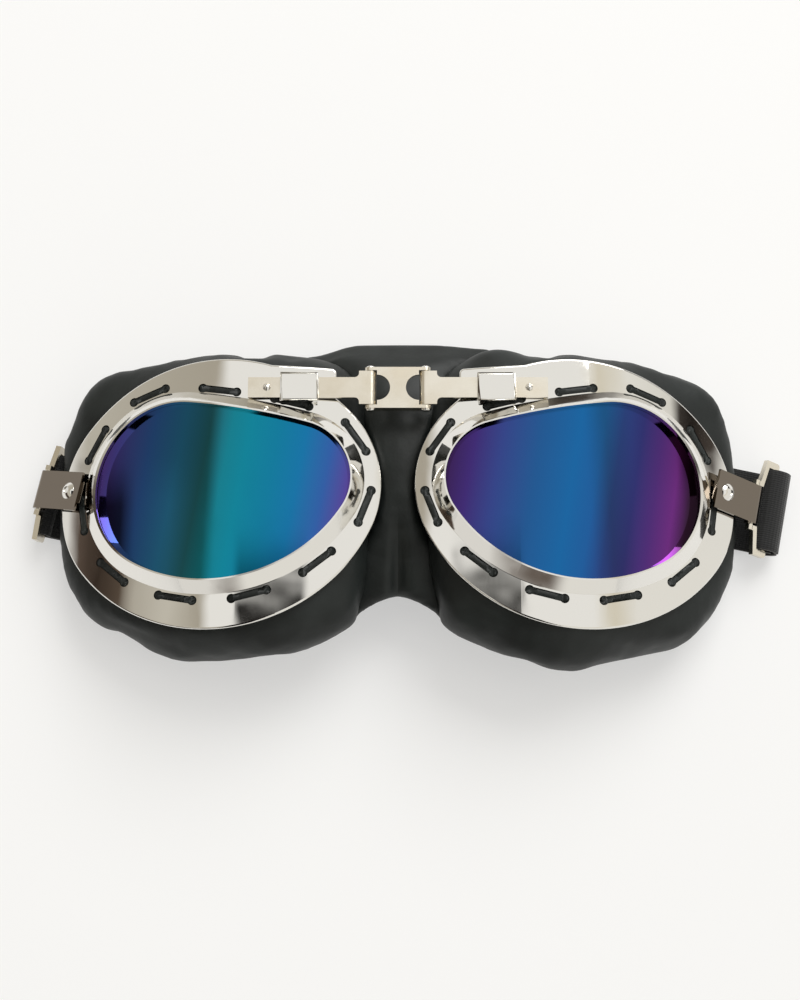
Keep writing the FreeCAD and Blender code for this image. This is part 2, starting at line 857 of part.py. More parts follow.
def long_strap():
    """From the right end, under both eyes, back in a second layer and over the slider's third bar."""
    low, lap = strap_low(), strap_lap_z()
    second = low + strap_layer
    over = slider_z() + slider_t / 2 + slider_play + strap_t / 2
    climb = slider_bar_x(slider_bars - 2) - slider_slot / 2
    fall = slider_bar_x(slider_bars - 1) - slider_slot / 2
    far, near = strap_layer_ends
    corners = (
        (strap_lap_x, lap), (strap_end_x - 2 * strap_t, lap), (strap_end_x - strap_ramp, low),
        (far, low), (far, second), (climb, second), (climb, over),
        (fall, over), (fall, second), (near, second),
    )
    turn = strap_layer / 2
    bends = (strap_ramp, strap_ramp, turn, turn, slider_bend, slider_bend, slider_bend, slider_bend)
    return ribbon(corners, bends)


def short_strap():
    """From the left end up to the slider's first bar, and sewn back round it."""
    lap = strap_lap_z()
    wrap = slider_t / 2 + slider_play + strap_t / 2
    over, under = slider_z() + wrap, slider_z() - wrap
    turn_x = slider_bar_x(1) - slider_slot / 2
    corners = (
        (-strap_short_x, lap), (-strap_end_x, lap), (-strap_end_x + strap_climb, over), (turn_x, over),
        (turn_x, under), (slider_x - strap_tail, under),
    )
    return ribbon(corners, (strap_ramp, strap_ramp, slider_bend, slider_bend))


# The whole object


def eye_pieces():
    return {
        "frame_plate": frame_plate(),
        "lens_rim": lens_rim(),
        "lens": lens(),
        "lens_seal": lens_seal(),
        "binding": binding(),
        "backing_ring": backing_ring(),
        "pad_cover": pad_ring(pad_skin),
        "pad_foam": pad_ring(pad_core),
        "keeper": keeper(),
        "tongue": tongue(),
        "tongue_stop": tongue_stop(),
        "hinge_pin": hinge_pin(),
    }


def all_pieces():
    pieces = {
        "bridge_link": bridge_link(),
        "nose_leather": nose_leather(),
        "long_strap": long_strap(),
        "short_strap": short_strap(),
        "strap_slider": strap_slider(),
        "right_strap_end": tilted(right_strap_end(), 1),
        "left_strap_end": tilted(left_strap_end(), -1),
        "right_strap_loop": tilted(strap_loop(right_loop_angle), 1),
        "left_strap_loop": tilted(mirror(strap_loop(left_loop_angle)), -1),
    }
    for name, shape in eye_pieces().items():
        pieces["right_" + name] = shape
        pieces["left_" + name] = mirror(shape)
    for name, shape in (("temple_bracket", bracket()), ("temple_rivet", rivet())):
        pieces["right_" + name] = tilted(shape, 1)
        pieces["left_" + name] = tilted(mirror(shape), -1)
    bores = {"right_": tilted(rivet_bore(), 1), "left_": tilted(mirror(rivet_bore()), -1)}
    for side, bore in bores.items():
        pieces[side + "frame_plate"] = pieces[side + "frame_plate"].cut(bore)
    return pieces


def main():
    os.makedirs("parts", exist_ok=True)
    for name, shape in all_pieces().items():
        solids = shape.Solids
        whole = solids[0] if len(solids) == 1 else Part.makeCompound(solids)
        whole.exportStep("parts/" + name + ".step")
        print(name, len(solids), "solid", round(whole.Volume, 1), "mm3")


if __name__ == "__main__":
    main()
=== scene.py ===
import bpy
import json
import math
from mathutils import Matrix, Vector
from mathutils.bvhtree import BVHTree


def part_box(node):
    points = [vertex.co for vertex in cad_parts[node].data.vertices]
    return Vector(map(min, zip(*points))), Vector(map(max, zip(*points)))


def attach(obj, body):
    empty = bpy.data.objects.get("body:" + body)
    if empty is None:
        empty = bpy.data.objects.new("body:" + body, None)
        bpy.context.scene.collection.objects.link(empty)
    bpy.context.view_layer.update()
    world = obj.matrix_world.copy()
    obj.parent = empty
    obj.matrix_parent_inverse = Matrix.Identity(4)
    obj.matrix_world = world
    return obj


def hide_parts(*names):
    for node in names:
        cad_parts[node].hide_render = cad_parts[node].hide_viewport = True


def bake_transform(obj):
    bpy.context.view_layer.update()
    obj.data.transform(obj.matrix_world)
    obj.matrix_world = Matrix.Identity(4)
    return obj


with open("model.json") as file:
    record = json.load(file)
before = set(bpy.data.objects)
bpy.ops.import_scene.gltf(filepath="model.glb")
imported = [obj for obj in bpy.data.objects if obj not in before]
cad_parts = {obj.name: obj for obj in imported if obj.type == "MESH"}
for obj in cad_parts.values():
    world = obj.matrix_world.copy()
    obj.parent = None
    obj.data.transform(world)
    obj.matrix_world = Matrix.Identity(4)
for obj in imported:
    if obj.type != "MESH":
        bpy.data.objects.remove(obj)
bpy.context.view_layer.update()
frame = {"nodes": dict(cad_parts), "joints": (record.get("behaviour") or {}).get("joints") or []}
nodes = frame["nodes"]
scene = bpy.context.scene
print("frame loaded,", len(nodes), "nodes")

mm = 0.001
mergeGap = 0.001 * mm
sideSigns = {"left": -1, "right": 1}


# small helpers

def hexColor(code):
    # sRGB hex to linear
    channels = [int(code[n:n + 2], 16) / 255 for n in (1, 3, 5)]
    return [c / 12.92 if c <= 0.04045 else ((c + 0.055) / 1.055) ** 2.4 for c in channels] + [1.0]


def addNode(tree, kind, inputs=None, stops=None, **settings):
    # stops are a colour ramp's (position, sRGB hex)
    node = tree.nodes.new(kind)
    for name, value in settings.items():
        setattr(node, name, value)
    for name, value in (inputs or {}).items():
        socket = node.inputs[name]
        if isinstance(value, bpy.types.NodeSocket):
            tree.links.new(value, socket)
        else:
            socket.default_value = value
    if stops:
        ramp = node.color_ramp
        while len(ramp.elements) < len(stops):
            ramp.elements.new(1.0)
        for element, (position, code) in zip(ramp.elements, stops):
            element.position = position
            element.color = hexColor(code)
    return node


def newMaterial(name):
    material = bpy.data.materials.new(name)
    material.use_nodes = True
    tree = material.node_tree
    return material, tree, tree.nodes["Principled BSDF"]


def dress(material, *names):
    for name in names:
        mesh = nodes[name].data
        mesh.materials.clear()
        mesh.materials.append(material)


def bothSides(*names):
    return [side + "_" + name for side in sideSigns for name in names]


def pick(piece):
    bpy.ops.object.select_all(action="DESELECT")
    piece.select_set(True)
    bpy.context.view_layer.objects.active = piece


def applyModifiers(piece):
    pick(piece)
    for modifier in list(piece.modifiers):
        bpy.ops.object.modifier_apply(modifier=modifier.name)


def newPiece(name, mesh):
    # a piece with its own copy of a mesh
    piece = bpy.data.objects.new(name, mesh.copy())
    scene.collection.objects.link(piece)
    pick(piece)
    return piece


def mergedCopy(node, name):
    # a CAD mesh is loose triangles, so its copy is merged
    piece = newPiece(name, nodes[node].data)
    bpy.ops.object.mode_set(mode="EDIT")
    bpy.ops.mesh.select_all(action="SELECT")
    bpy.ops.mesh.remove_doubles(threshold=mergeGap)
    bpy.ops.mesh.select_all(action="DESELECT")
    bpy.ops.object.mode_set(mode="OBJECT")
    return piece


def keepBeyond(piece, x, sign):
    # cuts a piece across at x and keeps the part on that side
    pick(piece)
    bpy.ops.object.mode_set(mode="EDIT")
    bpy.ops.mesh.select_all(action="SELECT")
    bpy.ops.mesh.bisect(plane_co=(x, 0, 0), plane_no=(sign, 0, 0), use_fill=True, clear_inner=True)
    bpy.ops.object.mode_set(mode="OBJECT")


def smoothstep(low, high, value):
    t = max(0.0, min(1.0, (value - low) / (high - low)))
    return t * t * (3 - 2 * t)


# camera: looking down on the goggles, a little from the chin side

camera = {
    "elevation": 78.0,
    "distance": 430 * mm,
    "target": (0.0, 0.0, 18 * mm),
    "lens": 70.65,
    "sensor": 36.0,
    "shiftX": 0.0025,
    "nearClip": 10 * mm,
}


def placeCamera():
    data = bpy.data.cameras.new("photoCamera")
    data.sensor_fit = "HORIZONTAL"
    data.sensor_width = camera["sensor"]
    data.lens = camera["lens"]
    data.shift_x = camera["shiftX"]
    data.clip_start = camera["nearClip"]
    eye = bpy.data.objects.new("photoCamera", data)
    scene.collection.objects.link(eye)
    tilt = math.radians(camera["elevation"])
    aim = Vector(camera["target"])
    eye.location = aim + camera["distance"] * Vector((0, -math.cos(tilt), math.sin(tilt)))
    eye.rotation_euler = (aim - eye.location).to_track_quat("-Z", "Y").to_euler()
    scene.camera = eye


placeCamera()
print("camera placed")


# studio: pale table, white ceiling, dark walls for the chrome to show and a dark flag by the camera

studio = {
    "table": "#f7f7f6",
    "tableRough": 0.9,
    "tableSpecular": 0.1,
    "tableSize": 30.0,
    "tableGlow": 0.5,           # share of the table that shows as plain white to the camera and in the chrome
    "glowStrength": 0.95,
    # by height of the direction, from straight down at 0 to straight up at 1
    "leftSky": [(0.0, "#f3f2f0"), (0.555, "#f0eeea"), (0.60, "#5d5047"), (0.68, "#3b312a"),
                (0.75, "#5d5045"), (0.79, "#bfb9ad"), (0.87, "#d2cdc1"), (0.93, "#b6afa1"),
                (0.945, "#fdfcf9")],
    "rightSky": [(0.0, "#f3f2f0"), (0.555, "#f0eeea"), (0.60, "#4b443f"), (0.68, "#26221f"),
                 (0.71, "#3b3632"), (0.74, "#e9e7e0"), (0.85, "#f7f5ef"), (0.9, "#e6dfcd"),
                 (0.93, "#fdfcf9")],
    # the same without the dark walls
    "leftOpen": [(0.0, "#f3f2f0"), (0.555, "#f0eeea"), (0.62, "#c9c4b8"), (0.93, "#b6afa1"),
                 (0.945, "#fdfcf9")],
    "rightOpen": [(0.0, "#f3f2f0"), (0.7, "#f7f5ef"), (0.85, "#f7f5ef"), (0.9, "#e6dfcd"),
                  (0.93, "#fdfcf9")],
    "openY": (0.2, 0.235),      # the left wall stands below this, the right one above
    "skyStrength": 0.95,
    "sides": 0.12,              # half the width of the change from the left sky to the right
    "flag": "#171513",
    "flagX": (-0.30, 0.09),     # the flag's edges, as parts of a direction
    "flagY": 0.165,
    "flagLow": 0.35,
    "flagSoft": 0.03,
    "keyPower": 38.0,
    "keySize": 1.5,
    "keyAt": (0.7, 1.5, 1.5),
}


def buildSky():
    world = bpy.data.worlds.new("studio")
    scene.world = world
    world.use_nodes = True
    tree = world.node_tree
    direction = addNode(tree, "ShaderNodeTexCoord").outputs["Generated"]
    parts = addNode(tree, "ShaderNodeSeparateXYZ", {"Vector": direction}).outputs
    height = addNode(tree, "ShaderNodeMapRange", {"Value": parts["Z"], "From Min": -1.0}).outputs["Result"]
    skies = {name: addNode(tree, "ShaderNodeValToRGB", {"Fac": height}, studio[name]).outputs["Color"]
             for name in ("leftSky", "leftOpen", "rightSky", "rightOpen")}
    skies["flag"] = hexColor(studio["flag"])
    soft, sides = studio["flagSoft"], studio["sides"]
    flagLeft, flagRight = studio["flagX"]
    flagFar, flagLow = studio["flagY"], studio["flagLow"]
    edges = {
        "upper": ("Y", *studio["openY"]),
        "rightHalf": ("X", -sides, sides),
        "flag": ("X", flagLeft - soft, flagLeft + soft),
        "flagRight": ("X", flagRight + soft, flagRight - soft),
        "flagFar": ("Y", flagFar + soft, flagFar - soft),
        "flagLow": ("Z", flagLow - soft, flagLow + soft),
    }
    shares = {}
    for name, (axis, low, high) in edges.items():
        edge = addNode(tree, "ShaderNodeMapRange", {"Value": parts[axis], "From Min": low, "From Max": high},
                       interpolation_type="SMOOTHSTEP")
        shares[name] = edge.outputs["Result"]
    for name in ("flagRight", "flagFar", "flagLow"):
        shares["flag"] = addNode(tree, "ShaderNodeMath", {0: shares["flag"], 1: shares[name]},
                                 operation="MULTIPLY").outputs["Value"]
    mixes = (("left", "upper", "leftSky", "leftOpen"), ("right", "upper", "rightOpen", "rightSky"),
             ("both", "rightHalf", "left", "right"), ("flagged", "flag", "both", "flag"))
    for name, share, first, second in mixes:
        skies[name] = addNode(tree, "ShaderNodeMix", {0: shares[share], 6: skies[first], 7: skies[second]},
                              data_type="RGBA").outputs[2]
    background = tree.nodes["Background"]
    background.inputs["Strength"].default_value = studio["skyStrength"]
    tree.links.new(skies["flagged"], background.inputs["Color"])


def buildTable():
    bpy.ops.object.select_all(action="DESELECT")
    bpy.ops.mesh.primitive_plane_add(size=studio["tableSize"], location=(0, 0, 0))
    table = bpy.context.object
    table.name = "table"
    material, tree, shader = newMaterial("paleTable")
    shader.inputs["Base Color"].default_value = hexColor(studio["table"])
    shader.inputs["Roughness"].default_value = studio["tableRough"]
    shader.inputs["Specular IOR Level"].default_value = studio["tableSpecular"]
    glow = addNode(tree, "ShaderNodeEmission", {"Strength": studio["glowStrength"]})
    rays = addNode(tree, "ShaderNodeLightPath").outputs
    seen = rays["Is Camera Ray"]
    for name in ("Is Glossy Ray", "Is Transmission Ray"):
        seen = addNode(tree, "ShaderNodeMath", {0: seen, 1: rays[name]}, operation="MAXIMUM").outputs["Value"]
    share = addNode(tree, "ShaderNodeMath", {0: seen, 1: studio["tableGlow"]}, operation="MULTIPLY")
    blend = addNode(tree, "ShaderNodeMixShader", {0: share.outputs["Value"], 1: shader.outputs["BSDF"],
                                                  2: glow.outputs["Emission"]})
    tree.links.new(blend.outputs["Shader"], tree.nodes["Material Output"].inputs["Surface"])
    table.data.materials.append(material)


def hangLamp():
    lamp = bpy.data.lights.new("keyLight", "AREA")
    lamp.energy = studio["keyPower"]
    lamp.size = studio["keySize"]
    key = bpy.data.objects.new("keyLight", lamp)
    scene.collection.objects.link(key)
    key.location = studio["keyAt"]
    key.rotation_euler = (-key.location).to_track_quat("-Z", "Y").to_euler()


buildSky()
buildTable()
hangLamp()
scene.view_settings.view_transform = "Standard"
print("studio built")


# materials: each bump is its depth and strength, each span the part of a pattern that is used

leather = {
    "deep": "#121615",
    "worn": "#222726",
    "cloudy": 16 * mm,      # uneven dye
    "dyeSpan": (0.35, 0.7),
    "specular": 0.32,
    "roughness": (0.56, 0.42),
    "dent": 7 * mm,         # soft dents of handled leather
    "dentBump": (0.5 * mm, 0.2),
    "wrinkle": 11 * mm,     # fine creases between them
    "wrinkleBump": (0.5 * mm, 0.22),
    "grain": 0.9 * mm,      # pebbles of the grain
    "grainBump": (0.1 * mm, 0.25),
}


def blackLeather():
    # soft black leatherette: faint pebbled grain, uneven dye, a dull sheen that breaks on the folds
    material, tree, shader = newMaterial("blackLeather")
    shader.inputs["Specular IOR Level"].default_value = leather["specular"]
    place = addNode(tree, "ShaderNodeTexCoord").outputs["Object"]
    cloud = addNode(tree, "ShaderNodeTexNoise", {"Vector": place, "Scale": 1 / leather["cloudy"],
                                                 "Detail": 3.0}).outputs["Fac"]
    low, high = leather["dyeSpan"]
    color = addNode(tree, "ShaderNodeValToRGB", {"Fac": cloud},
                    [(low, leather["deep"]), (high, leather["worn"])])
    tree.links.new(color.outputs["Color"], shader.inputs["Base Color"])
    dull, shiny = leather["roughness"]
    rough = addNode(tree, "ShaderNodeMapRange", {"Value": cloud, "To Min": dull, "To Max": shiny})
    tree.links.new(rough.outputs["Result"], shader.inputs["Roughness"])
    dent = addNode(tree, "ShaderNodeTexNoise", {"Vector": place, "Scale": 1 / leather["dent"], "Detail": 1.0})
    wrinkle = addNode(tree, "ShaderNodeTexNoise", {"Vector": place, "Scale": 1 / leather["wrinkle"],
                                                   "Detail": 3.0}, noise_type="RIDGED_MULTIFRACTAL")
    pebble = addNode(tree, "ShaderNodeTexVoronoi", {"Vector": place, "Scale": 1 / leather["grain"]},
                     feature="SMOOTH_F1")
    below = {}
    for height, name in ((dent.outputs["Fac"], "dentBump"), (wrinkle.outputs["Fac"], "wrinkleBump"),
                         (pebble.outputs["Distance"], "grainBump")):
        depth, strength = leather[name]
        bump = addNode(tree, "ShaderNodeBump", {"Height": height, "Distance": depth, "Strength": strength,
                                                **below})
        below = {"Normal": bump.outputs["Normal"]}
    tree.links.new(below["Normal"], shader.inputs["Normal"])
    return material


chrome = {
    "color": "#e8e6e1",
    "darkBrown": "#7b7268",
    "smudge": 9 * mm,
    "smudgeSpan": (0.3, 0.75),
    "roughness": (0.02, 0.09),
    "wave": 13 * mm,        # pressed sheet is never quite flat
    "waveBump": (0.4 * mm, 0.3),
}


def chromedSteel(name, code):
    # bright chrome on pressed sheet steel: clear mirror with faint smudges and a slightly wavy surface
    material, tree, shader = newMaterial(name)
    shader.inputs["Base Color"].default_value = hexColor(code)
    shader.inputs["Metallic"].default_value = 1.0
    place = addNode(tree, "ShaderNodeTexCoord").outputs["Object"]
    smudge = addNode(tree, "ShaderNodeTexNoise", {"Vector": place, "Scale": 1 / chrome["smudge"],
                                                  "Detail": 4.0})
    low, high = chrome["smudgeSpan"]
    clear, smudged = chrome["roughness"]
    rough = addNode(tree, "ShaderNodeMapRange", {"Value": smudge.outputs["Fac"], "From Min": low,
                                                 "From Max": high, "To Min": clear, "To Max": smudged})
    tree.links.new(rough.outputs["Result"], shader.inputs["Roughness"])
    wave = addNode(tree, "ShaderNodeTexNoise", {"Vector": place, "Scale": 1 / chrome["wave"], "Detail": 1.0})
    depth, strength = chrome["waveBump"]
    bump = addNode(tree, "ShaderNodeBump", {"Height": wave.outputs["Fac"], "Distance": depth,
                                            "Strength": strength})
    tree.links.new(bump.outputs["Normal"], shader.inputs["Normal"])
    return material


nickel = {
    "bright": "#ebe5d8",
    "dull": "#ddd4c2",
    "tintSpan": (0.35, 0.65),
    "haze": 12 * mm,
    "hazeSpan": (0.3, 0.7),
    "roughness": (0.26, 0.14),
    "hazeBump": (0.2 * mm, 0.1),
}


def satinNickel():
    # nickel on stamped steel strip: warmer and softer than the chrome, with a faint haze
    material, tree, shader = newMaterial("satinNickel")
    shader.inputs["Metallic"].default_value = 1.0
    place = addNode(tree, "ShaderNodeTexCoord").outputs["Object"]
    haze = addNode(tree, "ShaderNodeTexNoise", {"Vector": place, "Scale": 1 / nickel["haze"],
                                                "Detail": 3.0}).outputs["Fac"]
    low, high = nickel["tintSpan"]
    color = addNode(tree, "ShaderNodeValToRGB", {"Fac": haze},
                    [(low, nickel["dull"]), (high, nickel["bright"])])
    tree.links.new(color.outputs["Color"], shader.inputs["Base Color"])
    low, high = nickel["hazeSpan"]
    hazy, clear = nickel["roughness"]
    rough = addNode(tree, "ShaderNodeMapRange", {"Value": haze, "From Min": low, "From Max": high,
                                                 "To Min": hazy, "To Max": clear})
    tree.links.new(rough.outputs["Result"], shader.inputs["Roughness"])
    depth, strength = nickel["hazeBump"]
    bump = addNode(tree, "ShaderNodeBump", {"Height": haze, "Distance": depth, "Strength": strength})
    tree.links.new(bump.outputs["Normal"], shader.inputs["Normal"])
    return material


coatAndPaintedReflection = {
    # thin-film colours of the coating with painted reflection of the room in them, darker at the outer ends,
    # from the left edge of each lens to its right edge
    "left": [(0.0, "#4a2f72"), (0.08, "#43418c"), (0.2, "#30589a"), (0.32, "#2a6b94"), (0.42, "#27626f"),
             (0.5, "#1b8294"), (0.57, "#16879f"), (0.68, "#177fa4"), (0.78, "#1c78ae"), (0.88, "#3662ac"),
             (1.0, "#643a96")],
    "right": [(0.0, "#3c2350"), (0.1, "#432f78"), (0.2, "#39488e"), (0.34, "#275c98"), (0.48, "#1f69a8"),
              (0.57, "#2560a2"), (0.64, "#2f4685"), (0.72, "#36387a"), (0.8, "#54337f"), (0.88, "#713286"),
              (0.94, "#3c2440"), (1.0, "#2a1f2c")],
    "lean": 0.18,           # the bands lean a little with Y
    "smear": 11 * mm,
    "smearSpan": (0.35, 0.75),
    "roughness": (0.03, 0.1),
}


def mirrorCoat(side):
    # mirror-coated polycarbonate: thin-film colours that run from blue-green to violet, partly painted
    # reflection of the room that darkens the outer ends, with faint smears
    material, tree, shader = newMaterial("mirrorCoat" + side.capitalize())
    shader.inputs["Metallic"].default_value = 1.0
    place = addNode(tree, "ShaderNodeTexCoord").outputs["Object"]
    smear = addNode(tree, "ShaderNodeTexNoise", {"Vector": place, "Scale": 1 / coatAndPaintedReflection["smear"],
                                                 "Detail": 3.0})
    low, high = coatAndPaintedReflection["smearSpan"]
    clear, smeared = coatAndPaintedReflection["roughness"]
    rough = addNode(tree, "ShaderNodeMapRange", {"Value": smear.outputs["Fac"], "From Min": low,
                                                 "From Max": high, "To Min": clear, "To Max": smeared})
    tree.links.new(rough.outputs["Result"], shader.inputs["Roughness"])
    parts = addNode(tree, "ShaderNodeSeparateXYZ", {"Vector": place}).outputs
    leaning = addNode(tree, "ShaderNodeMath", {0: parts["Y"], 1: -coatAndPaintedReflection["lean"], 2: parts["X"]},
                      operation="MULTIPLY_ADD")
    first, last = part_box(side + "_lens")
    across = addNode(tree, "ShaderNodeMapRange", {"Value": leaning.outputs["Value"], "From Min": first[0],
                                                  "From Max": last[0]})
    # coating colours and painted reflection across the lens
    color = addNode(tree, "ShaderNodeValToRGB", {"Fac": across.outputs["Result"]}, coatAndPaintedReflection[side])
    tree.links.new(color.outputs["Color"], shader.inputs["Base Color"])
    return material


elastic = {
    # painted shade: deep is the colour of the weave's grooves, the other colour that of its raised threads,
    # lighter as if lit
    "deep": "#08090a",
    "litThreadTop": "#1c1d1f",
    "shadeSpan": (0.2, 0.9),
    "roughness": 0.85,
    "sheen": 0.25,
    "rib": 0.9 * mm,
    "ribShare": 0.6,        # how high the ribs stand, with the warp threads at 1
    "warp": 0.6 * mm,
    "weaveBump": (0.2 * mm, 0.6),
}


def wovenElastic():
    # black woven elastic: fine ribs across the band, matt and slightly fuzzy, with painted shade in the
    # grooves of the weave and its raised threads lighter, as if lit
    material, tree, shader = newMaterial("wovenElastic")
    shader.inputs["Roughness"].default_value = elastic["roughness"]
    shader.inputs["Sheen Weight"].default_value = elastic["sheen"]
    place = addNode(tree, "ShaderNodeTexCoord").outputs["UV"]
    parts = addNode(tree, "ShaderNodeSeparateXYZ", {"Vector": place}).outputs
    threads = {}
    for name, axis in (("rib", "X"), ("warp", "Y")):
        turns = addNode(tree, "ShaderNodeMath", {0: parts[axis], 1: 2 * math.pi / elastic[name]},
                        operation="MULTIPLY")
        threads[name] = addNode(tree, "ShaderNodeMath", {0: turns.outputs["Value"]},
                                operation="SINE").outputs["Value"]
    weave = addNode(tree, "ShaderNodeMath", {0: threads["rib"], 1: elastic["ribShare"], 2: threads["warp"]},
                    operation="MULTIPLY_ADD")
    most = 1 + elastic["ribShare"]
    tone = addNode(tree, "ShaderNodeMapRange", {"Value": weave.outputs["Value"], "From Min": -most,
                                                "From Max": most}).outputs["Result"]
    # painted shade by height: darker in the grooves, lighter on the raised threads
    low, high = elastic["shadeSpan"]
    color = addNode(tree, "ShaderNodeValToRGB", {"Fac": tone},
                    [(low, elastic["deep"]), (high, elastic["litThreadTop"])])
    tree.links.new(color.outputs["Color"], shader.inputs["Base Color"])
    depth, strength = elastic["weaveBump"]
    bump = addNode(tree, "ShaderNodeBump", {"Height": tone, "Distance": depth, "Strength": strength})
    tree.links.new(bump.outputs["Normal"], shader.inputs["Normal"])
    return material


mouldings = {
    "sealRubber": {"deep": "#131313", "dusty": "#1c1b1a", "roughness": 0.7, "grit": 0.8 * mm},
    "backingBoard": {"deep": "#181818", "dusty": "#24221f", "roughness": 0.8, "grit": 0.5 * mm},
    "mouldedNylon": {"deep": "#101010", "dusty": "#1a1a1b", "roughness": 0.45, "grit": 0.6 * mm},
    "patch": 8,             # a dusty patch, in grits
    "dustSpan": (0.4, 0.7),
    "gritBump": (0.1 * mm, 0.3),
}


def darkMoulding(name):
    # black rubber, board or nylon: fine grit, a little dustier in patches
    finish = mouldings[name]
    material, tree, shader = newMaterial(name)
    shader.inputs["Roughness"].default_value = finish["roughness"]
    place = addNode(tree, "ShaderNodeTexCoord").outputs["Object"]
    patch = mouldings["patch"] * finish["grit"]
    dust = addNode(tree, "ShaderNodeTexNoise", {"Vector": place, "Scale": 1 / patch, "Detail": 4.0})
    low, high = mouldings["dustSpan"]
    color = addNode(tree, "ShaderNodeValToRGB", {"Fac": dust.outputs["Fac"]},
                    [(low, finish["deep"]), (high, finish["dusty"])])
    tree.links.new(color.outputs["Color"], shader.inputs["Base Color"])
    grain = addNode(tree, "ShaderNodeTexNoise", {"Vector": place, "Scale": 1 / finish["grit"], "Detail": 2.0})
    depth, strength = mouldings["gritBump"]
    bump = addNode(tree, "ShaderNodeBump", {"Height": grain.outputs["Fac"], "Distance": depth,
                                            "Strength": strength})
    tree.links.new(bump.outputs["Normal"], shader.inputs["Normal"])
    return material


leatherSkin = blackLeather()
strapCloth = wovenElastic()
brightChrome = chromedSteel("chromedSteel", chrome["color"])
dress(brightChrome, *bothSides("frame_plate", "lens_rim", "tongue_stop", "hinge_pin", "temple_rivet"))
# the temple brackets get a darker, brownish chrome colour
dress(chromedSteel("darkBrownChrome", chrome["darkBrown"]), *bothSides("temple_bracket"))
dress(satinNickel(), "bridge_link", *bothSides("tongue", "strap_loop"))
for side in sideSigns:
    dress(mirrorCoat(side), side + "_lens")
dress(darkMoulding("sealRubber"), *bothSides("lens_seal"))
dress(darkMoulding("backingBoard"), *bothSides("backing_ring"))
dress(darkMoulding("mouldedNylon"), "strap_slider")
print("materials made")


# keepers: pressed sleeves with rolled ends

keeper = {
    "roll": 0.8 * mm,
    "rollSteps": 4,
    "shell": 0.7 * mm,      # the outside skin, clear of the opening
    "endNormal": 0.99,      # faces that look this straight along X are ends
    "smoothAngle": 35,
}


def rollKeeper(side):
    low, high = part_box(side + "_keeper")
    sleeve = mergedCopy(side + "_keeper", side + "_keeper_sleeve")
    mesh = sleeve.data
    ends, walls = set(), set()
    for face in mesh.polygons:
        (ends if abs(face.normal.x) > keeper["endNormal"] else walls).update(face.edge_keys)
    rims = ends & walls
    shell = keeper["shell"]
    outside = {v.index for v in mesh.vertices
               if v.co.y < low[1] + shell or v.co.y > high[1] - shell or v.co.z > high[2] - shell}
    bpy.ops.object.mode_set(mode="EDIT")
    bpy.ops.mesh.select_mode(type="EDGE")
    bpy.ops.object.mode_set(mode="OBJECT")
    for edge in mesh.edges:
        edge.select = edge.key in rims and outside.issuperset(edge.vertices)
    bpy.ops.object.mode_set(mode="EDIT")
    bpy.ops.mesh.bevel(offset=keeper["roll"], segments=keeper["rollSteps"], affect="EDGES")
    bpy.ops.object.mode_set(mode="OBJECT")
    bpy.ops.object.shade_smooth_by_angle(angle=math.radians(keeper["smoothAngle"]))
    mesh.materials.clear()
    mesh.materials.append(brightChrome)
    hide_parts(side + "_keeper")
    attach(sleeve, side + "_eye")


for side in sideSigns:
    rollKeeper(side)
print("keepers made")


# soft leather pads: the foam's shape, remeshed and puffed up as cloth

pads = {
    "voxel": 1.9 * mm,
    "skin": 1.2 * mm,       # leather over the foam
    "pressure": 5.0,
    "spare": 0.02,          # spare leather, which puckers
    "mass": 0.0004,
    "frames": 20,
    "heldNear": 2.2 * mm,   # leather this close to the plate is clamped
    "freeFrom": 6.5 * mm,
    "faceSide": (0.7, 0.9), # leather that looks down this much keeps its shape for the face
    "cap": 2.1 * mm,
    "floor": 0.2 * mm,
    "settle": 3,            # passes that soften small crumples
    "dimple": 9 * mm,       # soft dimples in the free leather
    "dimpleDepth": 1.0 * mm,
    "temple": 90,           # bulges further out than this stay above the strap
    "strapRoom": (5 * mm, 11 * mm),
    # soft bulges and hollows: where, how wide, and the push in X and Y, all in millimetres
    "left": [(-85, 31, 17, -1.6, 3.4), (-76, -41, 15, 0.6, 2.6), (-69, -43, 4, -0.3, -1.0),
             (-22, 38, 9, 0.5, -0.8), (-34, 40, 5, 0, 0.6), (-58, -44, 6, 0, -0.6), (-16, -33, 8, 3.0, -0.4),
             (-94, -8, 12, -2.4, 0), (-92, 15, 10, -1.4, 0)],
    "right": [(84, 24, 16, 2.0, 3.2), (42, -45, 15, 0, -3.4), (49, -46, 5, 0, -0.8), (28, 38, 10, 0, 2.2),
              (55, 39, 6, 0, -0.7), (76, -35, 8, 1.0, -1.2), (16, -34, 8, -3.0, -0.4), (92, 5, 12, 3.4, 0),
              (92, -16, 9, 1.0, 0)],
}
noses = {
    "voxel": 1.2 * mm,
    "skin": 0.9 * mm,
    "cap": 1.2 * mm,
    "spare": 0.02,
    "spread": 2.8 * mm,     # how far its ends run on into the pads
    "spreadX": (2 * mm, 9 * mm),
    "browY": (10 * mm, 26 * mm),
    "chinY": (-4 * mm, -18 * mm),
    "lower": 1.0 * mm,      # the brow edge comes down, more at its corners
    "lowerY": (36 * mm, 45 * mm),
    "corners": {"left": 3.0 * mm, "right": 0.8 * mm},
    "cornerX": (8 * mm, 22 * mm),
    "arch": 1.5 * mm,       # over the nose
    "archWidth": 4 * mm,
    "archY": (-20 * mm, -32 * mm),
    "creaseDepth": 2.2 * mm,
    "creaseWidth": 2.0 * mm,
    "creaseY": (0 * mm, -24 * mm),
    "smoothAngle": 50,
}


